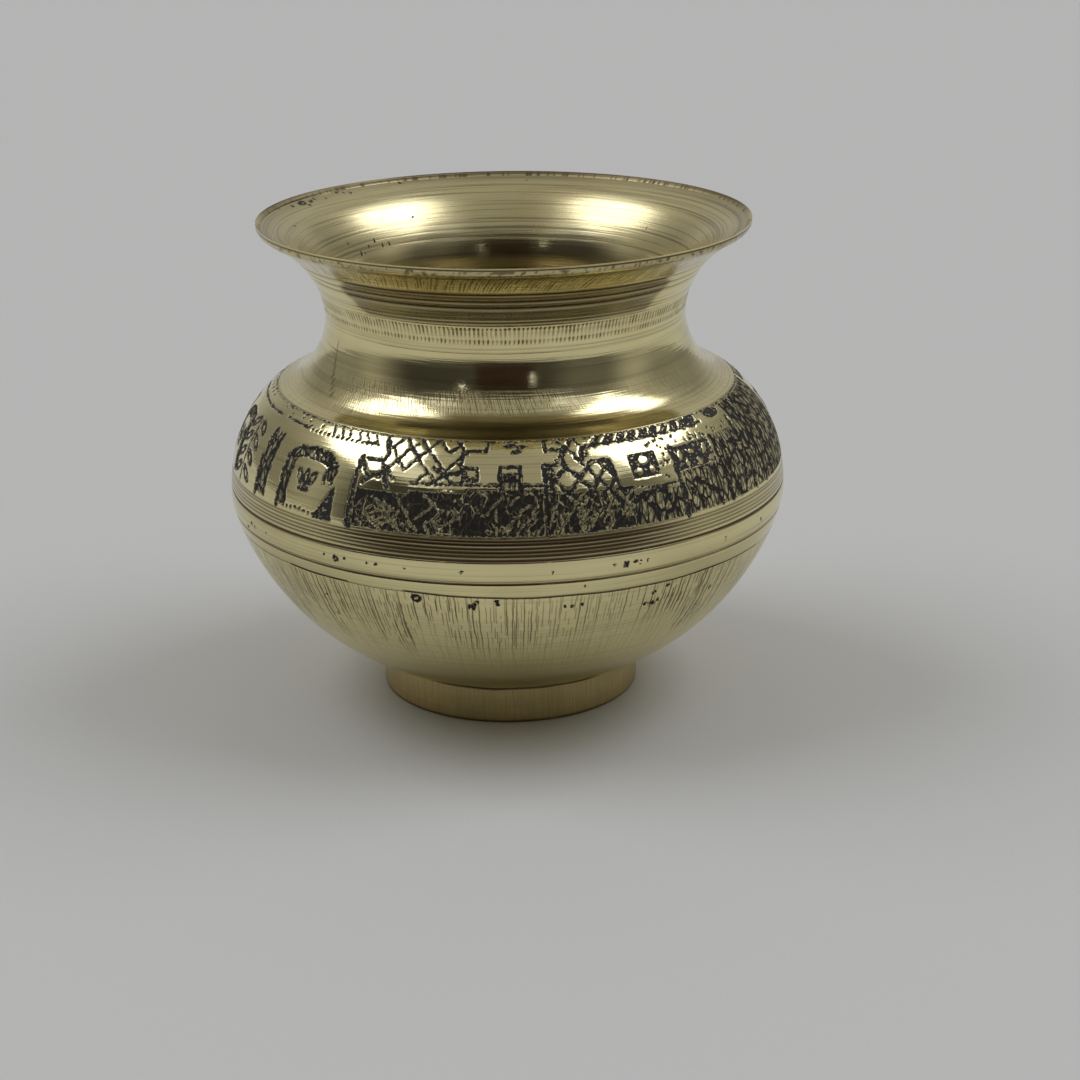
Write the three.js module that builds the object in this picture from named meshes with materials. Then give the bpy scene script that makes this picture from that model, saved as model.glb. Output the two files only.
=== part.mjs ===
// A lota: a small round-bellied brass water pot with a flared mouth and a ring foot.
//
// The pot is made as such pots are: three shells and a foot ring, each cast or beaten and then
// turned, joined end to end by brazing. The shells meet in stepped lap joints, and the spelter
// that fills each joint is a thin ring of its own. Nothing moves.
//
// Millimetres, +Z up. The origin is the centre of the foot's underside, on the pot's axis.
// In the outlines a point's x is its radius and its y is its height.

import * as THREE from 'three';

// ---- Driving dimensions -------------------------------------------------------------------

const height = 100;            // foot to rim
const rimRadius = 50;
const lipHeight = 1.6;         // the upright edge of the rim, and the wall's thickness there
const lipChamfer = 0.8;        // taken off the lip's lower corner, along both of its faces
const waistRadius = 36.8;      // the narrowest part of the neck
const waistHeight = 80.5;
const creaseRadius = 46.4;     // where the turned neck ends and the shoulder begins
const creaseHeight = 66.8;
const girthRadius = 57.6;      // the widest part of the belly
const girthHeight = 44;
const footRadius = 27;
const footHeight = 7.8;        // at the foot's outside, where it meets the bowl
const footWall = 3;
const footBevel = 0.4;
const undersideHeight = 5.8;   // the bowl's underside on the axis, inside the foot
const wall = 2.2;              // thickness of the shells away from the lip

const neckSeamOffset = 0.4;    // along the wall from the crease to the neck's seam
const girthSeamHeight = 38.7;  // the dressed seam between the shoulder shell and the bowl
const spelter = 0.3;           // thickness of the brazing metal in every joint
const lapLength = 3;
const lapDepth = 1;            // how much of the wall's outside half overlaps in a lap
const footSpelterInset = 0.3;  // the foot's seam stands back from the foot's outside

const girthGroove = { width: 1.0, depth: 0.45, heights: [46.2, 41.5] };
const neckGroove = { width: 0.8, depth: 0.35, heights: [92.9] };

// The outline's slopes, in degrees from the horizontal: of the flare where it leaves the lip, of
// the neck's flange and of the shoulder at the crease, of the bowl and the foot's seat at the
// heel, and of the underside where it leaves the seat.
const slope = { flare: 25, flange: 10.4, shoulder: 28, heel: 21.5, seat: 17, underside: 14 };

// How far each Bezier handle of the outline reaches from its corner: the larger, the fuller.
const reach = {
  lip: 10.4,
  aboveWaist: 5.4,
  belowWaist: 4.2,
  aboveCrease: 6.6,
  belowCrease: 3,
  aboveGirth: 15,
  belowGirth: 4.2,
  heel: 24.5,
  underside: 9,
};

const segments = 64;           // facets round the axis
const stationStep = 4;         // spacing of the points along an outline
const curvePoints = 40;        // spans in each curve of the outline

// ---- The outside of the wall, from the rim down to the axis -------------------------------

const degrees = Math.PI / 180;
const point = (radius, z) => new THREE.Vector2(radius, z);

// The point at a distance from another, in a direction given in degrees above the horizontal.
function handle(from, angle, distance) {
  const turn = angle * degrees;
  return point(from.x + distance * Math.cos(turn), from.y + distance * Math.sin(turn));
}

function curve(start, startHandle, endHandle, end) {
  return new THREE.CubicBezierCurve(start, startHandle, endHandle, end).getPoints(curvePoints);
}

const up = 90;
const down = -90;
const inward = 180;

const lipTop = point(rimRadius, height);
const lipFoot = point(rimRadius, height - lipHeight);
const waist = point(waistRadius, waistHeight);
const crease = point(creaseRadius, creaseHeight);
const girth = point(girthRadius, girthHeight);
const heel = point(footRadius, footHeight);
const seatEnd = handle(heel, inward + slope.seat, footWall / Math.cos(slope.seat * degrees));
const pole = point(0, undersideHeight);

const flare = curve(
  lipFoot,
  handle(lipFoot, inward + slope.flare, reach.lip),
  handle(waist, up, reach.aboveWaist),
  waist,
);
const neckBase = curve(
  waist,
  handle(waist, down, reach.belowWaist),
  handle(crease, inward - slope.flange, reach.aboveCrease),
  crease,
);
const shoulder = curve(
  crease,
  handle(crease, -slope.shoulder, reach.belowCrease),
  handle(girth, up, reach.aboveGirth),
  girth,
);
const bowl = curve(
  girth,
  handle(girth, down, reach.belowGirth),
  handle(heel, slope.heel, reach.heel),
  heel,
);
const underside = curve(
  seatEnd,
  handle(seatEnd, inward + slope.underside, reach.underside),
  handle(pole, 0, reach.underside),
  pole,
);

const outline = [
  lipTop,
  ...flare,
  ...neckBase.slice(1),
  ...shoulder.slice(1),
  ...bowl.slice(1),
  ...underside,
];

// Distance along the outline, from the top of the lip to each of its points.
const distances = [0];
for (let i = 1; i < outline.length; i++) {
  distances.push(distances[i - 1] + outline[i].distanceTo(outline[i - 1]));
}
const outlineLength = distances[distances.length - 1];
const distanceOf = (target) => distances[outline.findIndex((p) => p.distanceTo(target) < 1e-6)];
const lipEnd = distanceOf(lipFoot);
const waistAt = distanceOf(waist);
const heelAt = distanceOf(heel);
const seatEndAt = distanceOf(seatEnd);

// Distance along the outline to the place where it passes a height, between two distances.
function distanceAtHeight(z, from, to) {
  for (let i = 1; i < outline.length; i++) {
    const inside = distances[i - 1] >= from && distances[i] <= to;
    if (inside && (outline[i - 1].y - z) * (outline[i].y - z) <= 0) {
      const part = (outline[i - 1].y - z) / (outline[i - 1].y - outline[i].y);
      return THREE.MathUtils.lerp(distances[i - 1], distances[i], part);
    }
  }
  throw new Error(`the outline does not pass height ${z}`);
}

// The wall thickens from the lip to the waist and then keeps its thickness.
function thickness(distance) {
  const part = THREE.MathUtils.clamp((distance - lipEnd) / (waistAt - lipEnd), 0, 1);
  return THREE.MathUtils.lerp(lipHeight, wall, part);
}

// A point in the wall: so far along the outline, and so deep below the outside surface. At a
// corner of the outline it belongs to the stretch that follows.
function inWall(distance, depth) {
  let i = distances.findIndex((d) => d > distance);
  if (i < 1) i = outline.length - 1;
  const part = (distance - distances[i - 1]) / (distances[i] - distances[i - 1]);
  const direction = outline[i].clone().sub(outline[i - 1]).normalize();
  const intoWall = point(direction.y, -direction.x).multiplyScalar(depth);
  return outline[i - 1].clone().lerp(outline[i], part).add(intoWall);
}

// ---- Stretches of the wall ----------------------------------------------------------------

// Distances spaced evenly between two ends, ends left out.
function between(from, to) {
  const count = Math.max(1, Math.round(Math.abs(to - from) / stationStep));
  return Array.from({ length: count - 1 }, (_, i) => from + ((to - from) * (i + 1)) / count);
}

// The outside surface between two distances, with a V groove at each of the given distances.
function outside(from, to, grooves = [], groove = girthGroove) {
  const clear = (d) => grooves.every((g) => Math.abs(d - g) > groove.width);
  const stations = between(from, to).filter(clear).map((d) => [d, 0]);
  for (const g of grooves) {
    stations.push([g - groove.width / 2, 0], [g, groove.depth], [g + groove.width / 2, 0]);
  }
  return stations.sort((a, b) => a[0] - b[0]).map(([d, depth]) => inWall(d, depth));
}

// The inside surface, walked the other way.
const inside = (from, to) => between(from, to).map((d) => inWall(d, thickness(d)));

// A stepped lap joint whose seam shows outside at the given distance. The upper shell's outer
// half reaches down over the lower shell's inner half, and the spelter fills the step between.
function lapJoint(seam) {
  const top = seam - lapLength;
  const upper = [inWall(seam, 0), inWall(seam, lapDepth), inWall(top, lapDepth), inWall(top, thickness(top))];
  const lowerTop = top + spelter;
  const lowerSeam = seam + spelter;
  const lower = [
    inWall(lowerTop, thickness(lowerTop)),
    inWall(lowerTop, lapDepth + spelter),
    inWall(lowerSeam, lapDepth + spelter),
    inWall(lowerSeam, 0),
  ];
  return { upper, lower, top, lowerTop, lowerSeam, seam };
}

const creaseAt = distanceOf(crease);
const girthAt = distanceOf(girth);
const neckJoint = lapJoint(creaseAt + neckSeamOffset);
const girthJoint = lapJoint(distanceAtHeight(girthSeamHeight, girthAt, heelAt));

// ---- Pieces -------------------------------------------------------------------------------

// A closed cross-section, walked from the outside to the inside of the wall, turned about +Z.
// An outline that starts and ends on the axis is left open there, because the axis closes it.
function turned(name, section, material) {
  const onAxis = section[0].x === 0 && section[section.length - 1].x === 0;
  const closed = onAxis ? section : [...section, section[0].clone()];
  const geometry = new THREE.LatheGeometry([...closed].reverse(), segments);
  geometry.rotateX(Math.PI / 2);
  const mesh = new THREE.Mesh(geometry, material);
  mesh.name = name;
  return mesh;
}

const brass = (color, roughness) => new THREE.MeshStandardMaterial({ color, roughness, metalness: 1 });

// Rim, neck and the flange that spreads to the crease.
function mouthAndNeck() {
  const grooves = neckGroove.heights.map((z) => distanceAtHeight(z, lipEnd, waistAt));
  const section = [
    lipTop,
    point(lipFoot.x, lipFoot.y + lipChamfer),
    inWall(lipEnd + lipChamfer, 0),
    ...outside(lipEnd + lipChamfer, neckJoint.seam, grooves, neckGroove),
    ...neckJoint.upper,
    ...inside(neckJoint.top, lipEnd),
    inWall(lipEnd, lipHeight),
  ];
  return turned('mouth_and_neck', section, brass(0xc9b06c, 0.28));
}

// The shoulder and the girth, which carries the chased band and the turned grooves.
function shoulderShell() {
  const grooves = girthGroove.heights.map((z) => distanceAtHeight(z, creaseAt, girthJoint.seam));
  const section = [
    ...neckJoint.lower,
    ...outside(neckJoint.lowerSeam, girthJoint.seam, grooves),
    ...girthJoint.upper,
    ...inside(girthJoint.top, neckJoint.lowerTop),
  ];
  return turned('shoulder_shell', section, brass(0xbfa45f, 0.24));
}

// The bottom of the belly, closed on the axis, with a coned seat for the foot.
function lowerBowl() {
  const section = [
    inWall(outlineLength, wall).setX(0),
    ...inside(outlineLength, girthJoint.lowerTop),
    ...girthJoint.lower,
    ...outside(girthJoint.lowerSeam, heelAt),
    heel,
    seatEnd,
    ...outside(seatEndAt, outlineLength),
    pole,
  ];
  return turned('lower_bowl', section, brass(0xb59a58, 0.36));
}

const footInside = footRadius - footWall;

// The outer edge of the foot's seam, on the seat or so far below it.
function seamEdge(below) {
  const edge = heel.clone().lerp(seatEnd, footSpelterInset / footWall);
  return point(edge.x, edge.y - below);
}

function footRing() {
  const section = [
    point(heel.x, heel.y - spelter),
    point(footRadius, footBevel),
    point(footRadius - footBevel, 0),
    point(footInside + footBevel, 0),
    point(footInside, footBevel),
    point(seatEnd.x, seatEnd.y - spelter),
    seamEdge(spelter),
  ];
  return turned('foot_ring', section, brass(0x9c8148, 0.42));
}

function footSpelter() {
  const section = [seamEdge(0), seamEdge(spelter), point(seatEnd.x, seatEnd.y - spelter), seatEnd];
  return turned('foot_braze', section, brass(0x8c6f35, 0.55));
}

function lapSpelter(name, joint) {
  return turned(name, [...joint.upper, ...joint.lower].reverse(), brass(0x8c6f35, 0.55));
}

const lota = new THREE.Group();
lota.name = 'lota';
lota.add(
  mouthAndNeck(),
  shoulderShell(),
  lowerBowl(),
  footRing(),
  lapSpelter('neck_braze', neckJoint),
  lapSpelter('girth_braze', girthJoint),
  footSpelter(),
);

export default lota;
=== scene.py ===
"""A lota, the small brass water pot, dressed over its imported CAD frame.

Outlines are in millimetres, as (radius, height) pairs; meshes are in metres. Azimuth is in degrees,
0 at the front (-Y) and growing towards +X. Distances along the outline start at the lip's foot, and
on the chased band at the crease. In the code a is an azimuth, s a distance along the outline, r and
z a radius and a height, and h a height off the outline, outward.
"""

import math

import bpy
import numpy as np
from mathutils import Matrix, Vector


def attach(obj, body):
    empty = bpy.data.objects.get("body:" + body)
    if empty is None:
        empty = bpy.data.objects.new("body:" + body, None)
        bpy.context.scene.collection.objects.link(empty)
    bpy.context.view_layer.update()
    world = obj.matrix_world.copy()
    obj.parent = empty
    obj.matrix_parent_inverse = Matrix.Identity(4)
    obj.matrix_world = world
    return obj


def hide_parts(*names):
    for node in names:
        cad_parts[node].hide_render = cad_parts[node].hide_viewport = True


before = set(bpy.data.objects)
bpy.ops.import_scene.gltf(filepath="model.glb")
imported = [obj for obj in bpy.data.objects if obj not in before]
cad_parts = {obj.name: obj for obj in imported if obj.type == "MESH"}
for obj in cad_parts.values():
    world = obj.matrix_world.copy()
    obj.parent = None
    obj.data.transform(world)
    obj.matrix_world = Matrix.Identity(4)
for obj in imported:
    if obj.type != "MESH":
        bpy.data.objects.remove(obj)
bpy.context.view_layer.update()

MM = 0.001

# ---- Dimensions, the same as the CAD part's ----

HEIGHT = 100.0
LIP_RADIUS = 50.0
LIP_HEIGHT = 1.6
WALL = 2.2
WAIST = (36.8, 80.5)
CREASE = (46.4, 66.8)
GIRTH = (57.6, 44.0)
HEEL = (27.0, 7.8)
FOOT_WALL = 3.0
SEAT_SLOPE = 17.0
UNDERSIDE_HEIGHT = 5.8
GIRTH_SEAM_HEIGHT = 38.7
NECK_SEAM_OFFSET = 0.4
SPELTER = 0.3
LAP_LENGTH = 3.0
LAP_DEPTH = 1.0
FOOT_BEVEL = 0.4
FOOT_SPELTER_INSET = 0.3

# ---- Meshing ----

POLE_RADIUS = 0.02    # the smallest ring about the axis, in the middle of the floor
SHARP_ANGLE = 48      # degrees between faces, past which an edge is drawn sharp
LATHE_RADIUS = 50     # mm, of the cylinder that the materials are laid out on
NOTHING_NEAR = 9.0    # mm, the distance to the cut lines where there are none
NOISE_ROWS = 512

# Vertices round each surface. Every count divides by the smaller ones it is stitched to.
ROUND_FINE = 1200
ROUND_BOWL = 1000
ROUND_INSIDE = 400
ROUND_HIDDEN = 200
ROUND_SMALL = 400

# ---- Outline ----


def heading(start, angle, distance):
    """The point at a distance from start, at an angle in degrees above the horizontal."""
    turn = math.radians(angle)
    return (start[0] + distance * math.cos(turn), start[1] + distance * math.sin(turn))


def bezier(a, b, c, d, count=160):
    t = np.linspace(0, 1, count + 1)[:, None]
    a, b, c, d = (np.array(p, float) for p in (a, b, c, d))
    return (1 - t) ** 3 * a + 3 * (1 - t) ** 2 * t * b + 3 * (1 - t) * t * t * c + t**3 * d


class Track:
    """A curve in the (radius, height) half plane, measured by the distance along it."""

    def __init__(self, points):
        self.points = np.array(points, float)
        steps = np.hypot(*np.diff(self.points, axis=0).T)
        self.distance = np.concatenate([[0.0], np.cumsum(steps)])
        tangent = np.gradient(self.points, self.distance, axis=0)
        tangent /= np.linalg.norm(tangent, axis=1)[:, None]
        self.outward = np.stack([-tangent[:, 1], tangent[:, 0]], 1)

    def at(self, distance, raised=0.0):
        """Radius and height so far along the curve, raised off it along its outward normal."""
        r, z = (np.interp(distance, self.distance, self.points[:, k]) for k in (0, 1))
        nr, nz = (np.interp(distance, self.distance, self.outward[:, k]) for k in (0, 1))
        length = np.hypot(nr, nz)
        return r + raised * nr / length, z + raised * nz / length

    def where(self, target):
        return float(self.distance[np.argmin(np.hypot(*(self.points - target).T))])

    def at_height(self, z, after):
        """Distance at which the curve comes down to a height, past a given distance."""
        part = self.distance >= after
        return float(np.interp(-z, -self.points[part, 1], self.distance[part]))


lip_foot = (LIP_RADIUS, HEIGHT - LIP_HEIGHT)
flare = bezier(lip_foot, heading(lip_foot, 205, 10.4), heading(WAIST, 90, 5.4), WAIST)
neck_base = bezier(WAIST, heading(WAIST, -90, 4.2), heading(CREASE, 169.6, 6.6), CREASE)
shoulder = bezier(CREASE, heading(CREASE, -28, 3), heading(GIRTH, 90, 15), GIRTH)
bowl = bezier(GIRTH, heading(GIRTH, -90, 4.2), heading(HEEL, 21.5, 24.5), HEEL)
body = Track(np.concatenate([flare, neck_base[1:], shoulder[1:], bowl[1:]]))

WAIST_AT = body.where(WAIST)
CREASE_AT = body.where(CREASE)
GIRTH_AT = body.where(GIRTH)
HEEL_AT = body.where(HEEL)
NECK_SEAM = CREASE_AT + NECK_SEAM_OFFSET
GIRTH_SEAM = body.at_height(GIRTH_SEAM_HEIGHT, GIRTH_AT)

seat_end = heading(HEEL, 180 + SEAT_SLOPE, FOOT_WALL / math.cos(math.radians(SEAT_SLOPE)))
pole = (0.0, UNDERSIDE_HEIGHT)
underside = Track(bezier(seat_end, heading(seat_end, 194, 9), heading(pole, 0, 9), pole))


def thickness(distance):
    return LIP_HEIGHT + (WALL - LIP_HEIGHT) * np.clip(distance / WAIST_AT, 0, 1)


# ---- Numbers spread over a surface ----


def smooth(value, low, high):
    """0 below low and 1 above high, eased between. With low above high it falls instead."""
    t = np.clip((value - low) / (high - low), 0, 1)
    return t * t * (3 - 2 * t)


def bell(offset, half):
    """1 at no offset, falling to nearly nothing at twice the half width."""
    return np.exp(-(offset / half) ** 2)


def round_azimuths(count):
    return -180 + 360 * np.arange(count) / count


def noise(azimuth, distance, around, spacing, seed):
    """Smooth random values from 0 to 1: `around` cells round the pot, `spacing` mm along it."""
    table = np.random.default_rng(seed).random((around, NOISE_ROWS))
    a = (azimuth + 180) / 360 * around
    s = distance / spacing + NOISE_ROWS // 2
    i, j = np.floor(a).astype(int), np.floor(s).astype(int)
    u, v = a - i, s - j
    u, v = u * u * (3 - 2 * u), v * v * (3 - 2 * v)

    def row(dj):
        here, after = (table[(i + di) % around, (j + dj) % NOISE_ROWS] for di in (0, 1))
        return here * (1 - u) + after * u

    return row(0) * (1 - v) + row(1) * v


def facing(azimuth, half, soft):
    """1 within half degrees of the front, eased to 0."""
    return smooth(np.abs(azimuth), half + soft, half - soft)


def stations(start, end, step, fine=()):
    """Distances from start to end, a step apart, and closer about each (centre, half, step)."""
    found = set(np.round(np.linspace(start, end, max(2, round(abs(end - start) / step) + 1)), 4))
    for centre, half, close in fine:
        low, high = max(start, centre - half), min(end, centre + half)
        if high > low:
            near = np.arange(-half, half + close / 2, close) + centre
            found = {d for d in found if not low < d < high or d in (start, end)}
            found |= {round(float(d), 4) for d in near if start < d < end}
    return np.array(sorted(found))


def spread(along, count, wander=0.0):
    """The azimuth and the distance of every vertex in a set of rings."""
    azimuth = round_azimuths(count)[None, :]
    s = along[:, None] + wander + 0 * azimuth
    return azimuth + 0 * s, s


def groove(distance, centre, width, depth):
    """A turned V groove with a rounded bottom, as a height in mm."""
    return -depth * bell(distance - centre, 0.42 * width)


# ---- Meshes made of rings ----


class Rings:
    """Rings of vertices round the axis, one below another, with values carried by each vertex.

    cut is the distance in mm to the cut lines. The others are 0 for none and 1 for much: the first
    darkens, for dark grooves, seams and marks and for painted shade and painted dark reflections;
    mark is for tool marks, ground for punched ground and satin for a rougher finish.
    """

    def __init__(self, r, z, count, along, cut=NOTHING_NEAR, soot=0.0, mark=0.0, ground=0.0,
                 satin=0.0):
        self.rows, self.count = len(along), count
        azimuth = np.radians(round_azimuths(count))[None, :]
        x, y = np.sin(azimuth), np.cos(azimuth)
        r, z, s = (self.full(value) for value in (r, z, along))
        self.points = np.stack([r * x, -r * y, z], -1) * MM
        lathe = np.stack([LATHE_RADIUS * x + 0 * s, LATHE_RADIUS * y + 0 * s, s], -1)
        self.values = {"lathe": lathe, "cut": self.full(cut), "soot": self.full(soot),
                       "mark": self.full(mark), "ground": self.full(ground),
                       "satin": self.full(satin)}

    def full(self, value):
        """A value for every vertex, out of one number, one for each ring, or all of them."""
        value = np.asarray(value, float)
        if value.ndim:
            value = value.reshape(self.rows, -1)
        return np.broadcast_to(value, (self.rows, self.count))


def plain_rings(profile, along, count=ROUND_HIDDEN, **values):
    profile = np.array(profile, float)
    steps = np.concatenate([[0.0], np.cumsum(np.hypot(*np.diff(profile, axis=0).T))])
    return Rings(profile[:, 0], profile[:, 1], count, along + steps, **values)


def join_rings(upper, lower, upper_first, lower_first):
    """Faces between two neighbouring rings, whose counts may differ by a whole factor."""
    few, many = min(upper, lower), max(upper, lower)
    ratio, left_over = divmod(many, few)
    if left_over:
        raise ValueError(f"a ring of {many} can't be stitched to one of {few}")
    j = np.arange(few)
    ends = np.stack([j, (j + 1) % few], 1)
    run = (j[:, None] * ratio + np.arange(ratio + 1)) % many
    if upper >= lower:
        return np.concatenate([upper_first + run[:, ::-1], lower_first + ends], 1)
    return np.concatenate([upper_first + ends[:, ::-1], lower_first + run], 1)


def ring_faces(stack):
    """The faces of a closed stack: each ring is joined to the next, and the last to the first."""
    counts = [g.count for g in stack for _ in range(g.rows)]
    firsts = np.concatenate([[0], np.cumsum(counts)[:-1]])
    pairs = [(i, (i + 1) % len(counts)) for i in range(len(counts))]
    return [join_rings(counts[a], counts[b], firsts[a], firsts[b]) for a, b in pairs]


def ring_mesh(name, stack):
    points = np.concatenate([g.points.reshape(-1, 3) for g in stack])
    faces = ring_faces(stack)
    loops = np.concatenate([f.ravel() for f in faces])
    sizes = np.concatenate([np.full(len(f), f.shape[1]) for f in faces])
    starts = np.concatenate([[0], np.cumsum(sizes)[:-1]])
    mesh = bpy.data.meshes.new(name)
    mesh.vertices.add(len(points))
    mesh.vertices.foreach_set("co", points.astype(np.float32).ravel())
    mesh.loops.add(len(loops))
    mesh.loops.foreach_set("vertex_index", loops.astype(np.int32))
    mesh.polygons.add(len(sizes))
    mesh.polygons.foreach_set("loop_start", starts.astype(np.int32))
    mesh.update(calc_edges=True)
    mesh.validate()
    mesh.polygons.foreach_set("use_smooth", np.ones(len(mesh.polygons), bool))
    mesh.set_sharp_from_angle(angle=math.radians(SHARP_ANGLE))
    return mesh


def place(name, data):
    made = bpy.data.objects.new(name, data)
    bpy.context.scene.collection.objects.link(made)
    return made


def make_piece(name, stack, material, nodes):
    """One mesh from a stack of ring sets, walked down the outside and up the inside."""
    mesh = ring_mesh(name, stack)
    for key in stack[0].values:
        kind, field = ("FLOAT_VECTOR", "vector") if key == "lathe" else ("FLOAT", "value")
        layer = mesh.attributes.new(key, kind, "POINT")
        found = np.concatenate([g.values[key].ravel() for g in stack])
        layer.data.foreach_set(field, found.astype(np.float32))
    mesh.materials.append(material)
    piece = place(name, mesh)
    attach(piece, "root")
    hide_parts(*nodes)


# ---- Joints ----


def in_wall(distance, depth):
    r, z = body.at(distance, -depth)
    return (float(r), float(z))


def lap(seam):
    """The two faces of a stepped lap joint, upper shell and lower shell, outside to inside."""
    top = seam - LAP_LENGTH
    upper = [in_wall(seam, LAP_DEPTH), in_wall(top, LAP_DEPTH), in_wall(top, WALL)]
    low_top, low_seam = top + SPELTER, seam + SPELTER
    lower = [in_wall(low_top, WALL), in_wall(low_top, LAP_DEPTH + SPELTER),
             in_wall(low_seam, LAP_DEPTH + SPELTER)]
    return upper, lower


def flush(azimuth):
    """A seam that neither strays nor shows."""
    return 0 * azimuth


def seam_wander(azimuth):
    """How far the hand-dressed girth seam strays along the wall, in mm."""
    a = np.radians(azimuth)
    waves = 0.75 * np.sin(a) + 0.12 * np.sin(5 * a + 1) + 0.07 * np.sin(11 * a + 2)
    return waves + 0.05 * np.sin(23 * a)


def seam_gap(azimuth):
    """Where the girth seam shows as a dark line, 1, and where it is dressed flush, 0."""
    return smooth(noise(azimuth, 0 * azimuth, 26, 5, 62), 0.36, 0.44)


# ---- The chased band ----

BAND_SCALE = 0.95     # mm along the girth per degree, about the middle of the band
BAND_TOP = 6.4        # mm from the crease, where the tall ornament starts under the border
BAND_BOTTOM = 19.8    # mm from the crease
STROKE = 0.9          # mm, the length of one blow of the chisel
BAND_SEED = 7


class Chasing:
    """The chased pattern over azimuth and distance from the crease.

    field is the signed distance in mm to the cut lines, negative in a line. ground is how densely
    the surface is punched all over, from 0 to 1.
    """

    def __init__(self, azimuth, distance):
        self.a, self.s = azimuth, distance
        self.field = np.full((len(distance), len(azimuth)), NOTHING_NEAR)
        self.ground = np.zeros(self.field.shape)
        self.rng = np.random.default_rng(BAND_SEED)

    def window(self, points, margin, shift):
        a = [p[0] + shift for p in points]
        s = [p[1] for p in points]
        reach = margin / BAND_SCALE
        c0, c1 = np.searchsorted(self.a, [min(a) - reach, max(a) + reach])
        r0, r1 = np.searchsorted(self.s, [min(s) - margin, max(s) + margin])
        return slice(r0, r1), slice(c0, c1)

    def straight(self, p, q, width, within=None, ridge=False):
        """A straight line, also where it runs on past the back; a ridge is left standing."""
        dx, dy = (q[0] - p[0]) * BAND_SCALE, q[1] - p[1]
        for shift in (0, -360):
            rows, cols = self.window([p, q], width / 2 + 1.2, shift)
            x = (self.a[None, cols] - p[0] - shift) * BAND_SCALE
            y = self.s[rows, None] - p[1]
            t = np.clip((x * dx + y * dy) / (dx * dx + dy * dy + 1e-9), 0, 1)
            found = np.hypot(x - t * dx, y - t * dy) - width / 2
            if within is not None:
                found = np.maximum(found, within[rows, cols])
            if ridge:
                self.ground[rows, cols] *= smooth(found, -0.15, 0.12)
            else:
                self.field[rows, cols] = np.minimum(self.field[rows, cols], found)

    def line(self, points, width=0.6, wobble=0.12, within=None, ridge=False):
        """A line cut by hand: short strokes that wander a little and change in weight."""
        path = [points[0]]
        for p, q in zip(points, points[1:]):
            length = math.hypot((q[0] - p[0]) * BAND_SCALE, q[1] - p[1])
            count = max(1, round(length / STROKE))
            for i in range(1, count + 1):
                t = i / count
                off = self.rng.normal(0, wobble, 2) if i < count else (0, 0)
                path.append((p[0] + (q[0] - p[0]) * t + off[0], p[1] + (q[1] - p[1]) * t + off[1]))
        for p, q in zip(path, path[1:]):
            self.straight(p, q, width * self.rng.uniform(0.7, 1.25), within, ridge)

    def lines(self, *rows):
        """Lines cut one after another, each given by its points, its width and its wobble."""
        for points, *weight in rows:
            self.line(points, *weight)

    def across(self, a):
        """Mm round the girth from an azimuth, the short way."""
        return ((self.a[None, :] - a + 180) % 360 - 180) * BAND_SCALE

    def add(self, shape):
        self.field = np.minimum(self.field, shape)

    def punch_shape(self, density, shape):
        """Ground punched all over inside a shape."""
        self.ground = np.maximum(self.ground, density * smooth(shape, 0.15, -0.15))

    def punch(self, density, a0, a1, s0, s1=BAND_BOTTOM):
        self.punch_shape(density, self.box(a0, a1, s0, s1))

    def box(self, a0, a1, s0, s1):
        x = np.abs(self.across((a0 + a1) / 2)) - (a1 - a0) / 2 * BAND_SCALE
        y = np.abs(self.s[:, None] - (s0 + s1) / 2) - (s1 - s0) / 2
        return np.maximum(x, y)

    def blob(self, a, s, across, along, turn=0.0):
        x = self.across(a)
        y = self.s[:, None] - s
        c, n = math.cos(math.radians(turn)), math.sin(math.radians(turn))
        u, v = (x * c + y * n) / across, (-x * n + y * c) / along
        return (np.hypot(u, v) - 1) * min(across, along)

    def dots(self, points, size=0.35):
        for a, s in points:
            wide, turn = size * self.rng.uniform(0.7, 1.3), self.rng.uniform(0, 180)
            self.add(self.blob(a, s, wide, size, turn))

    def speckle(self, a0, a1, s0, s1, count, size):
        rng = self.rng
        self.dots([(rng.uniform(a0, a1), rng.uniform(s0, s1)) for _ in range(count)], size)


def wedge_row(band, a0, a1):
    """A border of leaning dark wedges on a base line."""
    top, bottom, lean, pitch = 1.4, 2.7, 1.4, 3.1
    band.line([(a0, bottom + 0.1), (a1, bottom + 0.1)], 0.55, 0.05)
    for a in np.arange(a0 + 0.6, a1 - lean * 0.5, pitch):
        band.line([(a, bottom), (a + lean, top)], band.rng.uniform(1.1, 1.7), 0.08)


def lattice_patch(band, a0, a1, s0, s1, pitch, width, share=0.9, zone=None):
    """Crossing diagonals inside a zone, cut by hand, with gaps where the chisel skipped."""
    zone = band.box(*(zone or (a0, a1, s0, s1)))
    run = (s1 - s0) / BAND_SCALE * 0.9
    cuts = np.linspace(0, 1, max(2, round((s1 - s0) / 2.2)) + 1)
    for a in np.arange(a0 - run, a1 + run, pitch):
        for rise in (0, 1):
            shift = band.rng.normal(0, 0.5)
            upper = np.array([a + shift + run * rise, s0])
            lower = np.array([a + shift + run * (1 - rise), s1])
            for ends in zip(cuts, cuts[1:]):
                if band.rng.random() < share:
                    part = [tuple(upper * (1 - t) + lower * t) for t in ends]
                    band.line(part, width * band.rng.uniform(0.8, 1.2), 0.16, zone)


def ladder(band, a, half):
    """A bar of close dark strokes between two heavy upright lines."""
    low = BAND_BOTTOM - 0.2
    band.lines(([(a - half, BAND_TOP), (a - half, low)], 1.1, 0.18),
               ([(a + half, BAND_TOP + 0.3), (a + half, low - 0.4)], 0.9, 0.18))
    band.punch(0.8, a - half, a + half, BAND_TOP, low - 0.3)


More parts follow.
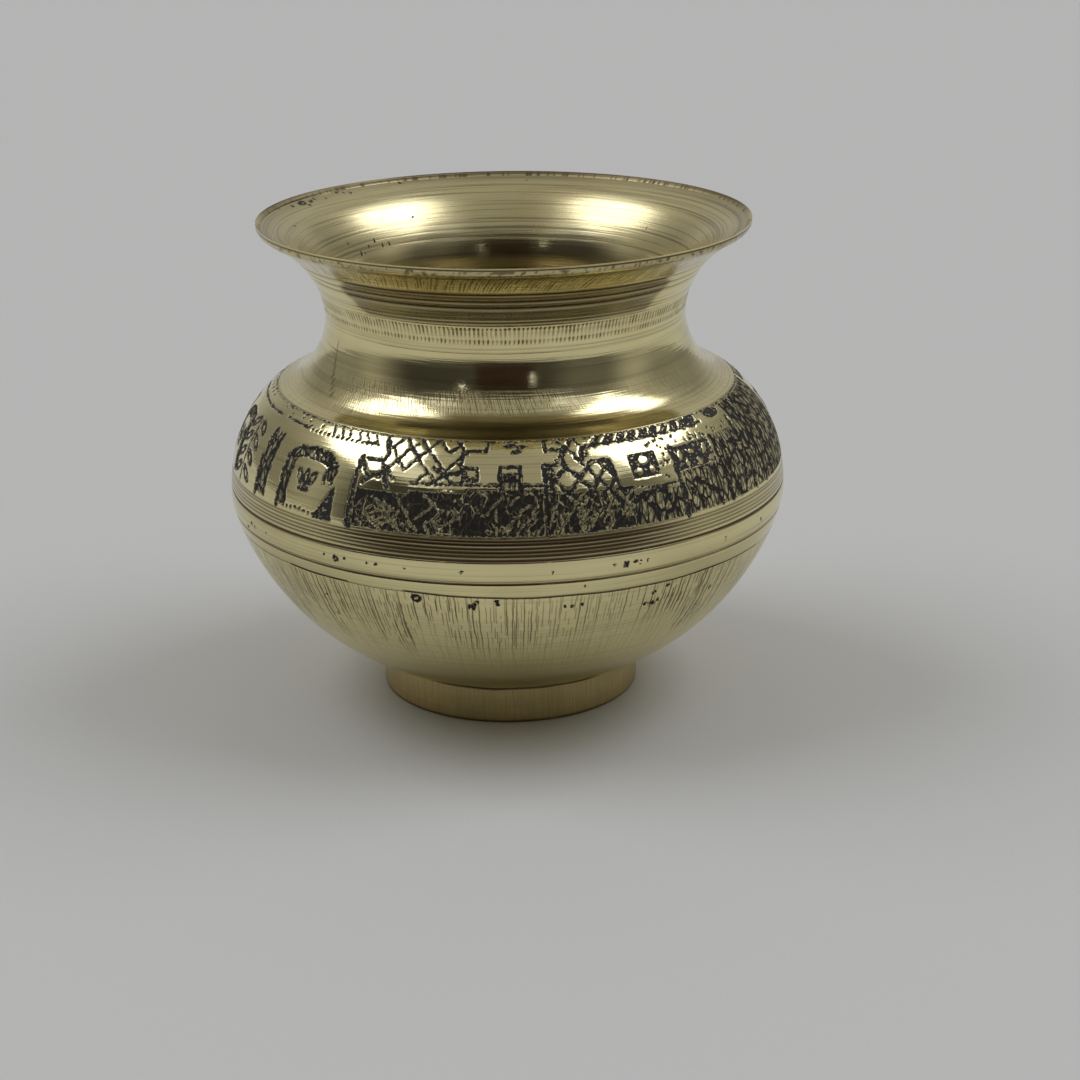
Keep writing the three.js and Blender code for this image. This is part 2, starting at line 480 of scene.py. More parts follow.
def spray(band, a, s0, s1, pairs):
    """A stem with pairs of slanting leaves, each leaf an outline round a light middle."""
    band.line([(a, s0), (a + 0.3, (s0 + s1) / 2), (a - 0.2, s1)], 0.5, 0.14)
    for s in np.linspace(s0 + 1.6, s1 - 1.8, pairs):
        for side in (-1, 1):
            leaf = band.blob(a + side * 3.0, s - 0.3, 2.5, 1.05, 32 * side)
            band.add(np.abs(leaf + 0.35) - 0.3)


def arch(band, a0, a1, right_leg):
    """A heavy arch of punched work, a thin arch inside it, and a tulip under both.

    right_leg is how far down its right leg comes, in mm from the arch's top.
    """
    s0, s1 = BAND_TOP, BAND_BOTTOM
    middle, half = (a0 + a1) / 2, (a1 - a0) / 2
    turn = np.radians(np.arange(180, -1, -20))
    for inset, width in ((0.0, 0.7), (2.3, 0.5)):
        wide, tall = half - inset, 2.8 - 0.8 * inset
        band.line([(middle + wide * math.cos(t), s0 + 3.4 - tall * math.sin(t)) for t in turn],
                  width, 0.2)
    outer = band.blob(middle, s0 + 3.6, half * BAND_SCALE, 3.3)
    inner = band.blob(middle, s0 + 4.4, (half - 2.3) * BAND_SCALE, 2.2)
    crown = np.maximum(np.maximum(outer, -inner), band.box(a0 - 1, a1 + 1, s0 - 1, s0 + 3.6))
    band.punch_shape(0.84, crown)
    foot = s0 + right_leg
    band.lines(([(a0, s0 + 3), (a0 - 0.2, s1)], 0.9, 0.18),
               ([(a0 + 2.6, s0 + 3.4), (a0 + 2.2, s1 - 0.3)], 0.6, 0.18),
               ([(a1, s0 + 3), (a1 - 0.3, foot)], 0.8, 0.18),
               ([(a1 - 2.3, s0 + 4), (a1 - 2.2, foot + 0.4)], 0.55, 0.18))
    band.punch(0.84, a0, a0 + 2.4, s0 + 3, s1 - 0.5)
    band.punch(0.84, a1 - 2.3, a1, s0 + 3, foot - 0.2)
    for across, lean in ((-1.9, -24), (0, 0), (1.9, 24)):
        band.add(np.abs(band.blob(middle + across, s0 + 6.4, 0.85, 1.9, lean) + 0.3) - 0.25)
    band.add(band.blob(middle, s0 + 8.8, 1.6, 0.5))


def without(band, block, leaves):
    """A dark block with light leaves left in it."""
    for leaf in leaves:
        block = np.maximum(block, -band.blob(*leaf))
    return block


def rosette(band, a, s0=6.1, s1=10.9, half=2.5):
    """A square flower: a dark rounded block with three light petals."""
    s = (s0 + s1) / 2
    block = band.box(a - half + 0.5, a + half - 0.5, s0 + 0.5, s1 - 0.5) - 0.5
    petals = [(a, s - 0.9, 1.15, 1.0), (a - 1.5, s + 1.1, 0.75, 0.7), (a + 1.5, s + 1.1, 0.75, 0.7)]
    band.add(without(band, block, petals))


def crackle(band, a0, a1, s0, count):
    """Thin zigzag ridges left standing in punched ground."""
    rng = band.rng
    for _ in range(count):
        a, s = rng.uniform(a0, a1), rng.uniform(s0, BAND_BOTTOM - 1)
        path = [(a, s)]
        side = rng.choice((-1, 1))
        for _ in range(rng.integers(2, 5)):
            a, s = a + side * rng.uniform(0.5, 2.2), s + rng.uniform(0.7, 2.0)
            side = -side if rng.random() < 0.4 else side
            if a0 < a < a1 and s < BAND_BOTTOM:
                path.append((a, s))
        band.line(path, 0.3, 0.1, ridge=True)


def border_left(band):
    """The border over the left of the front: a line with dots, then leaning bars."""
    band.lines(([(-76, 3.5), (-64.4, 3.35)], 0.5, 0.04),
               ([(-61.6, 3.1), (-51.8, 3.35), (-51, 2.8)], 0.5, 0.05))
    band.dots([(-66, 1.6), (-63, 1.5), (-61, 2.2), (-56, 1.9), (-52.6, 1.9), (-47.6, 2.1)], 0.3)
    band.dots([(a, 3.5) for a in np.arange(-50, -28.5, 1.45)], 0.33)
    for a in (-44.2, -41.6, -39.2, -36.2, -34, -31.4):
        band.line([(a, 1.2), (a + 1.5, 3.1)], 0.4, 0.05)
    band.line([(-33.6, 3.3), (-30, 3.25)], 0.55, 0.05)


def left_of_front(band):
    """A leafy spray, the ladder bar and the arch."""
    spray(band, -71.2, 6.6, 19.8, 4)
    band.line([(-77.5, 7.2), (-77.8, 13), (-77.3, 19.4)], 0.6, 0.2)
    ladder(band, -59.8, 1.9)
    arch(band, -52.4, -37.6, 6.4)
    slope = (-37.4 - band.a[None, :]) * 0.9 + (14 - band.s[:, None]) * 0.6
    band.add(np.maximum(band.box(-41.2, -36.6, 13.4, 20), slope))
    band.dots([(a, 19.2 + 0.2 * math.sin(a)) for a in np.arange(-49, -41, 1.3)], 0.35)


def left_lattice(band):
    """The upright, the left lattice with its hook, and the punched ground under them."""
    band.add(band.box(-31.5, -27.6, 6.2, 6.95))
    band.lines(([(-32.2, 6.4), (-32.4, 19.8)], 1.0),
               ([(-31.8, 7.2), (-29.8, 9.8), (-27, 9.4)], 0.8),
               ([(-30.6, 11.2), (-28.6, 10)], 0.8))
    lattice_patch(band, -27.8, -8.4, 1.1, 10.2, 4.3, 0.6, 0.87)
    band.lines(([(-28, 1.2), (-26.2, 5), (-27, 6.6)], 0.9),
               ([(-26.6, 8), (-24.6, 12)], 0.9),
               ([(-15.6, 7), (-13, 8.6), (-9.4, 7.4), (-8.6, 9)], 0.9),
               ([(-9.9, 3.8), (-9.6, 6.8), (-6.4, 6.8), (-6.3, 9.2), (-9.2, 8.8)], 0.7),
               ([(-20, 10.4), (-8, 10.1), (-2, 10.2)], 0.4, 0.04))
    band.punch(1.0, -31.8, -20, 12.4)
    band.punch(1.0, -20, -8, 11.6)
    crackle(band, -31, -8, 12, 22)


def middle_space(band):
    """The plain stepped space at the front, with its small block and upright."""
    band.lines(([(-9.6, 3.1), (-4.6, 3.15), (-4.3, 1.2)], 0.6, 0.05),
               ([(8.2, 1), (8.2, 3.3)], 0.8, 0.05))
    for a, s in ((0.6, 1.9), (3.0, 2.2), (1.8, 3.3)):
        band.add(band.blob(a, s, 1.2, 0.42, -8))
    band.line([(2.4, 10.3), (7, 10.4)], 0.5, 0.03)
    band.punch(1.0, -8.2, 7, 10.9)
    crackle(band, -8, 7, 11, 9)
    band.lines(([(-1.8, 6.5), (2.6, 6.5)], 0.7, 0.05),
               ([(-1.8, 6.5), (-1.5, 10.8)], 0.7),
               ([(2.5, 6.5), (2.6, 12)], 0.85))
    band.punch(0.9, -1.8, 2.6, 8.2, 10.8)
    for s in (7.9, 9.2):
        band.line([(-1.4, s), (2.2, s)], 0.45, 0.1)
    band.line([(-2.2, 10.6), (-2.4, BAND_BOTTOM)], 0.2, 0.08, ridge=True)
    band.line([(7.0, 10.6), (6.9, BAND_BOTTOM)], 0.2, 0.05, ridge=True)


def right_lattice(band):
    """Two patches of lattice on an upright, and the punched ground under them."""
    band.lines(([(7.4, 6.4), (11.8, 6.4)], 0.6, 0.05),
               ([(7.5, 6.4), (7.3, 19.6)], 0.85),
               ([(9, 7), (8.8, 11.6)], 0.9),
               ([(11.8, 6.4), (12, 4), (13.6, 2.6), (14.4, 1)], 0.75),
               ([(15.8, 5.6), (16.4, 3.2), (18, 2.9)], 0.85),
               ([(9.4, 3.2), (11.8, 3.4)], 0.8))
    lattice_patch(band, 11, 17, 1, 6, 4.4, 0.55, 0.97, (10, 17.4, 1, 6.6))
    lattice_patch(band, 9, 22, 6.2, 12.6, 4.2, 0.66, 0.97, (7.6, 22, 6.4, 12.4))
    band.line([(17, 6.4), (21.6, 6.5), (22.2, 9), (22.8, 12.4)], 0.8)
    band.punch(0.97, 7.4, 25.8, 12)
    crackle(band, 7.4, 26, 11.6, 26)


def right_of_front(band):
    """The leaning border, the square flower, the leafed panel and the punched ground."""
    wedge_row(band, 18.6, 50)
    band.add(band.blob(47.2, 2, 2.1, 1.0, -25))
    band.add(band.blob(56, 2, 2.8, 1.1))
    rosette(band, 29.35, half=3.25)
    band.dots([(31.6, 4.9), (32.6, 4.4)], 0.38)
    band.line([(22.8, 12.2), (26, 12.5), (30, 12.9), (36.4, 13.2)], 0.35, 0.06)
    band.punch(0.78, 25.5, 36.6, 13.9)
    band.lines(([(25.6, 15), (28, 13.8), (30, 13.9), (32.8, 13.4), (33.4, 16)], 0.9),
               ([(27.4, 15), (29.8, 17), (30.2, 19.6)], 0.7))
    band.speckle(33.4, 36.6, 3.8, 12.4, 16, 0.24)
    band.line([(37.2, 6.4), (36.9, 12), (37.2, 19.8)], 1.1)
    leaves = [(38.8, 8.2, 0.625, 1.125, 10), (42.2, 8.0, 1.0, 0.45, 10),
              (46.2, 8.1, 0.625, 1.25, 30), (40.2, 10.1, 0.625, 0.6875), (47.2, 10.3, 1.125, 0.5),
              (43.6, 10.3, 1.0, 0.5, 60)]
    band.add(without(band, band.box(37.6, 48.4, 6.4, 11.2), leaves))
    band.punch(0.68, 37.8, 49.6, 11.4)
    for path in ([(40, 13.6), (43, 14.6), (46, 17.2), (47, 19.4)], [(39, 15), (41, 17), (41.6, 19)],
                 [(49.8, 6.4), (49.4, 12), (50.4, 19.6)], [(52.8, 8), (51.6, 14), (53.4, 19.4)],
                 [(59.6, 4.4), (59.4, 12), (60, 19.6)], [(56, 9), (57.4, 13), (55.8, 18)],
                 [(65, 1.4), (64.6, 9), (65.4, 19.6)], [(69, 1.4), (70, 8), (69, 15), (70, 19.6)]):
        band.line(path, 0.9, 0.2)
    band.punch(0.7, 49.6, 61, 6.4)
    band.speckle(37, 61, 3.8, 5.9, 26, 0.26)
    band.punch(0.82, 61, 87, 1.3)


SIDE_STRETCHES = (88, 137.25, 186.5, 235.75)    # azimuths where the side's ornament starts


def band_side(band, a0):
    """A 49-degree stretch of the same ornament, for the sides and the back."""
    wedge_row(band, a0 + 1, a0 + 27)
    band.line([(a0 + 29, 3.4), (a0 + 48, 3.4)], 0.5, 0.05)
    band.dots([(a, 1.9) for a in np.arange(a0 + 30, a0 + 48, 3.2)], 0.35)
    leaves = [(a0 + 2.4, 8.2, 0.625, 1.125, 10), (a0 + 6, 8, 1.0, 0.5),
              (a0 + 8.2, 10, 0.75, 0.625), (a0 + 4, 10.2, 0.75, 0.625, 40)]
    band.add(without(band, band.box(a0 + 0.6, a0 + 10, 6.4, 11.5), leaves))
    band.punch(0.7, a0 + 0.6, a0 + 10, 11.8)
    ladder(band, a0 + 13.4, 1.8)
    lattice_patch(band, a0 + 16.6, a0 + 28, 4.4, 12.4, 4.6, 0.8)
    band.punch(0.97, a0 + 16.6, a0 + 28, 12.2)
    crackle(band, a0 + 16.6, a0 + 28, 12, 12)
    band.line([(a0 + 28.6, 6.4), (a0 + 28.6, 19.7)], 0.9)
    rosette(band, a0 + 32.1)
    band.punch(0.8, a0 + 29, a0 + 35, 13.6)
    arch(band, a0 + 36.4, a0 + 48, 12.9)


def chase_band(azimuth, distance):
    """The signed distance to the cut lines, and how densely the ground is punched."""
    band = Chasing(azimuth, distance)
    band.line([(a, 0.9) for a in np.arange(-180, 181, 4)], 0.3, 0.03)
    for part in (border_left, left_of_front, left_lattice, middle_space, right_lattice,
                 right_of_front):
        part(band)
    for a0 in SIDE_STRETCHES:
        band_side(band, a0)
    grid = (azimuth[None, :] + 0 * distance[:, None], distance[:, None] + 0 * azimuth[None, :])
    ragged = 0.16 * (noise(*grid, 700, 0.6, 3) - 0.5)
    return band.field + ragged, band.ground


# ---- Casting pits ----

# Azimuth, distance and radius in mm of each pit. The distance is from the crease near the girth
# and on the bowl, and from the lip's foot inside the rim.
GIRTH_PITS = [
    (-62.5, 26.7, 0.35), (-61, 26.9, 0.3), (-65, 28.0, 0.35), (-56, 26.8, 0.3), (-38, 26.8, 0.3),
    (-35, 26.9, 0.55), (-33, 26.6, 0.3), (-28, 26.8, 0.3), (-26, 26.6, 0.25), (-20, 26.8, 0.25),
    (-9, 26.7, 0.3), (8, 26.8, 0.3), (20, 26.7, 0.3), (21, 26.9, 0.25), (22.5, 26.8, 0.5),
    (24.5, 26.6, 0.35), (25.5, 26.9, 0.3), (27, 26.8, 0.3), (47, 26.8, 0.3), (60.5, 26.7, 0.3),
    (14.5, 30.5, 0.25),
]
BOWL_PITS = [
    (-18.5, 33.4, 0.75), (-7.5, 34.7, 0.6), (-6.5, 33.4, 0.4), (-2.5, 33.2, 0.4), (-2.3, 34.2, 0.35),
    (10.8, 35.2, 0.3), (12.4, 35.3, 0.35), (14.3, 35.1, 0.3), (30, 35, 0.45), (28.7, 37.6, 0.4),
    (30.2, 38.1, 0.5), (31.6, 37.3, 0.4), (33, 34, 0.35), (45, 42.7, 0.4), (47, 38.5, 0.35),
    (-40, 42, 0.35), (-40.8, 37, 0.3),
]
RIM_PITS = [
    (-103, 0.8, 0.25), (-107, 0.8, 0.3), (-113, 1.5, 0.4), (-116.6, 1.7, 0.5), (-118.2, 1.4, 0.6),
    (-119, 2.8, 0.45), (-121, 1.9, 0.45), (-123, 1.5, 0.4), (-127, 2.1, 0.35), (-132, 1.1, 0.4),
    (-134, 1.5, 0.35), (-136, 1.9, 0.4), (-152, 0.9, 0.4), (-101, 6, 0.3), (-120, 13.8, 0.35),
    (-124, 16.4, 0.4), (-126, 16.8, 0.3), (-129, 15.6, 0.3), (-132, 14.7, 0.4), (-135, 15.9, 0.3),
    (-138, 15.9, 0.35), (174, 2.4, 0.3), (129, 12.3, 0.35), (106, 1.5, 0.3), (-150, 11, 0.3),
]
HOLLOW_PIT = 0.45     # mm, the radius past which a pit shows as a ring round a lighter middle


def pit_field(pits, azimuth, distance, radius):
    """Signed distance in mm to the nearest pit, with ragged outlines."""
    found = np.full(distance.shape, NOTHING_NEAR)
    for a, s, size in pits:
        gap = (azimuth - a + 180) % 360 - 180
        far = np.hypot(np.radians(gap) * radius, distance - s)
        far = np.abs(far - size) - 0.4 * size if size > HOLLOW_PIT else far - 1.15 * size
        found = np.minimum(found, far)
    return found + 0.25 * (noise(azimuth, distance, 900, 0.45, 5) - 0.5)


# ---- Materials ----


def colour(r, g, b, level=1.0):
    return (level * r, level * g, level * b, 1.0)


BRIGHT_BRASS = colour(0.86, 0.77, 0.42)
WARM_BRASS = colour(0.72, 0.57, 0.27)
DULL_BRASS = colour(0.58, 0.49, 0.25)
SOOT_AND_SHADE = colour(0.095, 0.062, 0.032)
FILL = colour(0.022, 0.018, 0.013)
PAPER = (colour(0.675, 0.67, 0.62), colour(0.695, 0.69, 0.64))

FINE_TURNING = 0.022     # mm, the height of the close lines that the lathe leaves
BROAD_TURNING = 0.07     # mm, the height of the broad ones
GRAIN_HEIGHT = 0.006     # mm
FILL_DEPTH = 0.09        # mm


class Tree:
    """A short way to write a node tree."""

    def __init__(self, owner):
        owner.use_nodes = True
        self.tree = owner.node_tree
        self.tree.nodes.clear()

    def set(self, socket, value):
        if isinstance(value, bpy.types.NodeSocket):
            self.tree.links.new(value, socket)
        elif value is not None:
            socket.default_value = value

    def node(self, kind, *values, **settings):
        """A shader node with its inputs set in their own order."""
        made = self.tree.nodes.new("ShaderNode" + kind)
        for key, value in settings.items():
            setattr(made, key, value)
        for socket, value in zip(made.inputs, values):
            self.set(socket, value)
        return made

    def named(self, kind, inputs, **settings):
        """A node with its inputs set by name."""
        made = self.node(kind, **settings)
        for key, value in inputs.items():
            self.set(made.inputs[key], value)
        return made

    def math(self, operation, a, b=None, c=None):
        return self.node("Math", a, b, c, operation=operation).outputs[0]

    def times(self, a, b):
        return self.math("MULTIPLY", a, b)

    def plus(self, a, b):
        return self.math("ADD", a, b)

    def times_plus(self, a, b, c):
        return self.math("MULTIPLY_ADD", a, b, c)

    def larger(self, a, b):
        return self.math("MAXIMUM", a, b)

    def smaller(self, a, b):
        return self.math("MINIMUM", a, b)

    def rest(self, share):
        return self.math("SUBTRACT", 1.0, share)

    def blend(self, share, a, b):
        """The number a where share is 0, and b where it is 1."""
        return self.plus(self.times(share, b), self.times(self.rest(share), a))

    def ramp(self, value, low, high, to_low=0.0, to_high=1.0, shape="SMOOTHSTEP"):
        made = self.node("MapRange", value, low, high, to_low, to_high,
                         interpolation_type=shape)
        return made.outputs[0]

    def mix(self, factor, a, b):
        """The colour a where factor is 0, and b where it is 1."""
        made = self.node("Mix", data_type="RGBA")
        for key, value in (("Factor_Float", factor), ("A_Color", a), ("B_Color", b)):
            self.set(next(s for s in made.inputs if s.identifier == key), value)
        return next(s for s in made.outputs if s.identifier == "Result_Color")

    def scaled(self, vector, scale, shift=(0, 0, 0)):
        return self.node("VectorMath", vector, scale, shift,
                         operation="MULTIPLY_ADD").outputs[0]

    def noise(self, vector, scale, detail=2.0, shift=(0, 0, 0), rough=0.5):
        """Noise over a vector, scaled and shifted first unless scale is None."""
        vector = self.scaled(vector, scale, shift) if scale else vector
        inputs = {"Vector": vector, "Scale": 1.0, "Detail": detail, "Roughness": rough}
        return self.named("TexNoise", inputs, noise_dimensions="3D").outputs[0]

    def parts(self, vector):
        return self.node("SeparateXYZ", vector).outputs

    def attribute(self, name, output="Fac"):
        return self.node("Attribute", attribute_name=name).outputs[output]


def turning_marks(t, lathe):
    """The close and the broad lines a lathe leaves, and both as heights in mm."""
    close = t.noise(lathe, (0.014, 0.014, 2.1), rough=0.65)
    wide = t.noise(lathe, (0.015, 0.015, 0.45), 3.0, rough=0.6)
    return close, wide, t.times_plus(wide, BROAD_TURNING, t.times(close, FINE_TURNING))


def cracks(t, lathe, scale, shift, width):
    """Straight-sided lines between random cells, 1 along the middle of each."""
    inputs = {"Vector": t.scaled(lathe, scale, shift), "Scale": 1.0}
    cells = t.named("TexVoronoi", inputs, voronoi_dimensions="3D",
                    feature="DISTANCE_TO_EDGE")
    return t.ramp(cells.outputs["Distance"], width, t.times(width, 0.4))


def strokes(t, lathe, cells, lean, width, broken, seed):
    """Thin lines, one in most of the cells round the pot, each broken along its length.

    lean is in cells per mm, width is a share of a cell, and broken is the breaks' frequency per mm.
    """
    x, y, along = t.parts(lathe)
    sway = t.noise(lathe, (0.4, 0.4, 0.3), 1.0, (seed, 0, 0))
    slant = t.times_plus(along, lean, t.times(sway, 0.5))
    place = t.times_plus(t.math("ARCTAN2", x, y), cells / (2 * math.pi), slant)
    cell = t.math("FLOOR", place)
    random = t.named("TexWhiteNoise", {"W": t.plus(cell, seed)}, noise_dimensions="1D")
    chance = t.node("SeparateColor", random.outputs["Color"]).outputs
    centre = t.times_plus(chance[0], 0.5, 0.25)
    off = t.math("ABSOLUTE", t.math("SUBTRACT", t.math("FRACT", place), centre))
    own = t.node("CombineXYZ", t.times(cell, 7.3), seed, t.times(along, broken))
    unbroken = t.ramp(t.noise(own.outputs[0], None, 1.0), 0.42, 0.5)
    return t.times(t.ramp(off, width, width * 0.45), t.times(unbroken, t.ramp(chance[1], 0.15, 0.35)))


def cut_fill(t, lathe, grain):
    """Dark filling in the cut lines and pits, with bright specks where it has dropped out."""
    ragged = t.times_plus(grain, 0.7, -0.35)
    lines = t.ramp(t.plus(t.attribute("cut"), ragged), 0.12, 0.0)
    speck = t.ramp(t.noise(lathe, (1.9, 1.9, 1.9), 1.0, (7, 7, 1)), 0.60, 0.67, 1.0, 0.3)
    return t.times(lines, speck)


def ground_fill(t, lathe, grain):
    """Dark filling in the punched ground.

    Where the ground is densest only thin ridges stand out of the dark. Elsewhere the punch has
    left dark strokes with brass between them.
    """
    density = t.attribute("ground")
    patch = t.ramp(t.noise(lathe, (0.35, 0.35, 0.35), 2.0, (6, 1, 5)), 0.45, 0.56, 0.08, 1.0)
    broken = t.ramp(t.noise(lathe, (1.5, 1.5, 1.1), 1.0, (3, 9, 2)), 0.44, 0.54, 0.06, 0.85)
    ridges = t.larger(cracks(t, lathe, (0.62, 0.62, 0.38), (5, 8, 3), 0.07),
                      t.times(cracks(t, lathe, (1.2, 1.2, 0.7), (1, 6, 4), 0.09), 0.35))
    ridges = t.times(t.times(ridges, patch), broken)
    weight = t.ramp(density, 0.6, 0.85, 0.14, 0.22, shape="LINEAR")
    punched = t.larger(cracks(t, lathe, (0.95, 0.95, 0.34), (2, 3, 9), weight),
                       t.times(cracks(t, lathe, (1.7, 1.7, 0.6), (4, 3, 6), weight), 0.75))
    dark = t.blend(t.ramp(density, 0.86, 0.94), punched, t.rest(ridges))
    edge = t.plus(density, t.times_plus(grain, 0.6, -0.3))
    return t.times(dark, t.ramp(edge, 0.3, 0.45))


def scratches(t, lathe, mark):
    """Slanting scratches, leaning one way over the neck and the other way under it."""
    over = t.larger(strokes(t, lathe, 300, 0.33, 0.24, 0.25, 3),
                    t.times(strokes(t, lathe, 440, 0.5, 0.22, 0.5, 11), 0.8))
    under = t.larger(strokes(t, lathe, 420, -0.45, 0.2, 0.5, 5),
                     strokes(t, lathe, 610, -0.6, 0.2, 0.8, 17))
    return t.times(t.blend(t.ramp(t.parts(lathe)["Z"], 14, 20), over, under), mark)


def chatter(t, lathe, mark):
    """Upright marks left by a chattering tool."""
    long = strokes(t, lathe, 290, 0.0, 0.15, 0.07, 3)
    short = t.times(strokes(t, lathe, 520, 0.0, 0.22, 0.3, 8), 0.7)
    return t.times(t.larger(long, short), mark)


def brass(name, tint, tarnish, tarnish_amount, rough, lines=0.2, streaks=0.0, hatch=0.0,
          chased=False):
    """Turned brass, laid out by the lathe attribute in mm round and along the wall.

    tarnish_amount and lines are how much the tarnish and the turning lines show, from 0 to 1.
    streaks and hatch are the depths in mm of chatter and of slanting scratches.
    """
    material = bpy.data.materials.new(name)
    t = Tree(material)
    lathe = t.attribute("lathe", "Vector")
    satin, mark = t.attribute("satin"), t.attribute("mark")
    close, wide, height = turning_marks(t, lathe)
    smudge = t.noise(lathe, (0.055, 0.055, 0.07), 3.0)
    grain = t.noise(lathe, (2.6, 2.6, 2.6))
    height = t.times(t.times_plus(grain, GRAIN_HEIGHT, height), t.times_plus(satin, 0.7, 1.0))

    base = t.mix(t.times(t.ramp(smudge, 0.35, 0.75), tarnish_amount), tint, tarnish)
    base = t.mix(t.times(t.ramp(close, 0.5, 0.36), t.times_plus(satin, 0.27, lines)), base, SOOT_AND_SHADE)
    if streaks or hatch:
        marks = chatter(t, lathe, mark) if streaks else scratches(t, lathe, mark)
        height = t.times_plus(marks, -(streaks + hatch), height)
        base = t.mix(t.smaller(marks, 0.88), base, SOOT_AND_SHADE)
    # Darkening carried by the vertices: dark grooves, seams and marks, and painted shade and painted
    # dark reflections.
    soot = t.smaller(t.times(t.attribute("soot"), t.ramp(wide, 0.3, 0.6, 0.75, 1.0)), 1.0)
    base = t.mix(soot, base, SOOT_AND_SHADE)
    fill = cut_fill(t, lathe, grain)
    if chased:
        fill = t.larger(fill, ground_fill(t, lathe, grain))
    base = t.mix(fill, base, FILL)
    depth = t.times_plus(grain, -0.08, FILL_DEPTH)
    height = t.times_plus(depth, t.times(fill, -1.0), height)

    finish = t.times_plus(smudge, 0.06, rough - 0.03)
    for value, amount in ((satin, 0.13), (soot, 0.15), (fill, 0.5)):
        finish = t.times_plus(value, amount, finish)
    if chased:
        finish = t.times_plus(t.attribute("ground"), 0.3, finish)
    bump = t.named("Bump", {"Strength": 1.0, "Distance": MM, "Height": height})
    shader = t.named("BsdfPrincipled", {
        "Base Color": base,
        "Roughness": t.smaller(finish, 0.9),
        "Metallic": t.times_plus(fill, -0.85, 1.0),
        "Normal": bump.outputs[0],
        "Anisotropic": 0.4,
        "Anisotropic Rotation": 0.25,
        "Tangent": t.node("Tangent", direction_type="RADIAL", axis="Z").outputs[0],
    })
    t.named("OutputMaterial", {"Surface": shader.outputs[0]})
    return material


def pale_paper():
    """The floor's matt paper, with a faint fibre."""
    material = bpy.data.materials.new("pale_paper")
    t = Tree(material)
    where = t.node("NewGeometry").outputs["Position"]
    fibre = t.noise(where, (900, 900, 900), 3.0)
    shader = t.named("BsdfPrincipled", {
        "Base Color": t.mix(fibre, *PAPER), "Roughness": 0.9, "Specular IOR Level": 0.2})
    t.named("OutputMaterial", {"Surface": shader.outputs[0]})
    return material


# ---- Pieces ----

# The neck's grooves: where they are, their width and depth, how dark, and half the dark's width.
NECK_GROOVES = [
    ((9.3, 11.5, 13.2), 0.8, 0.22, 0.75, 0.22),
    ((16.2, 16.9, 17.7, 22.5, 23.2), 0.35, 0.05, 0.35, 0.12),
]
NECK_FAINT = (24.9, 26.2, 27.4, 28.5, 29.9, 31.3)
TICK_ROWS = ((18.0, 18.2, 19.8, 20.0), (20.3, 20.5, 21.3, 21.6))
TICKS_ROUND = 280
SCRATCH = [(-63.5, 26), (-62.6, 29.5), (-60.5, 32.4), (-58, 34.6), (-55, 36.2)]
SCRATCH_SCALE = 0.68     # mm per degree at the foot of the neck
LIP_START = 1.1          # where the eased lip joins the flare, in mm from the lip's foot

# The grooves under the chased band: the close ones, then (distance, weight, half the width).
BAND_GROOVES_FINE = (20.6, 21.2, 22.0, 22.7, 23.4)
BAND_GROOVES_BOLD = ((24.4, 1.2, 0.26), (28.75, 0.7, 0.12), (29.2, 1.1, 0.2))


def hand_waviness(azimuth, distance, seed):
    """The slight unevenness of a hand-beaten wall, in mm."""
    wide = noise(azimuth, distance, 14, 14.0, seed) - 0.5
    ringed = noise(azimuth, distance, 5, 2.2, seed + 1) - 0.5
    return 0.035 * wide + 0.012 * ringed


def scratch_distance(azimuth, distance):
    """Mm to the one long scratch across the foot of the neck."""
    wander = 1.2 * (noise(azimuth, distance, 120, 1.4, 61) - 0.5)
    far = np.full(distance.shape, NOTHING_NEAR)
    for p, q in zip(SCRATCH, SCRATCH[1:]):
        x, y = (azimuth - p[0] + wander) * SCRATCH_SCALE, distance - p[1]
        dx, dy = (q[0] - p[0]) * SCRATCH_SCALE, q[1] - p[1]
        t = np.clip((x * dx + y * dy) / (dx * dx + dy * dy), 0, 1)
        far = np.minimum(far, np.hypot(x - t * dx, y - t * dy))
    return far


def tool_ticks(a, s):
    """Two rows of short upright marks round the neck, from 0 to 1."""
    rows = [smooth(s, top, full) * smooth(s, end, last) for top, full, last, end in TICK_ROWS]
    sway = 0.4 * noise(a, s, 90, 1.6, 6)
    comb = np.clip(1.7 * np.cos(np.radians(a + sway) * TICKS_ROUND), 0, 1)
    return np.maximum(*rows) * comb * np.clip(0.35 + noise(a, s, 150, 1.2, 4), 0, 1)


def neck_relief(a, s):
    """The height of the neck's outside, and the soot in its grooves and ticks."""
    h = hand_waviness(a, s, 21) * smooth(s, LIP_START, LIP_START + 2)
    soot = 0 * s
    for places, width, depth, dark, half in NECK_GROOVES:
        for g in places:
            h += groove(s, g, width, depth)
            soot += dark * bell(s - g, half)
    for g in NECK_FAINT:
        drift = 0.3 * (noise(a, s * 0 + g, 7, 9, 15) - 0.5)
        here = smooth(noise(a, s * 0 + 3 * g, 12, 9, 16), 0.3, 0.6)
        h += here * groove(s, g + drift, 0.5, 0.03)
        soot += 0.3 * here * bell(s - g - drift, 0.2)
    tick = tool_ticks(a, s)
    return h - 0.12 * tick, soot + 0.95 * tick


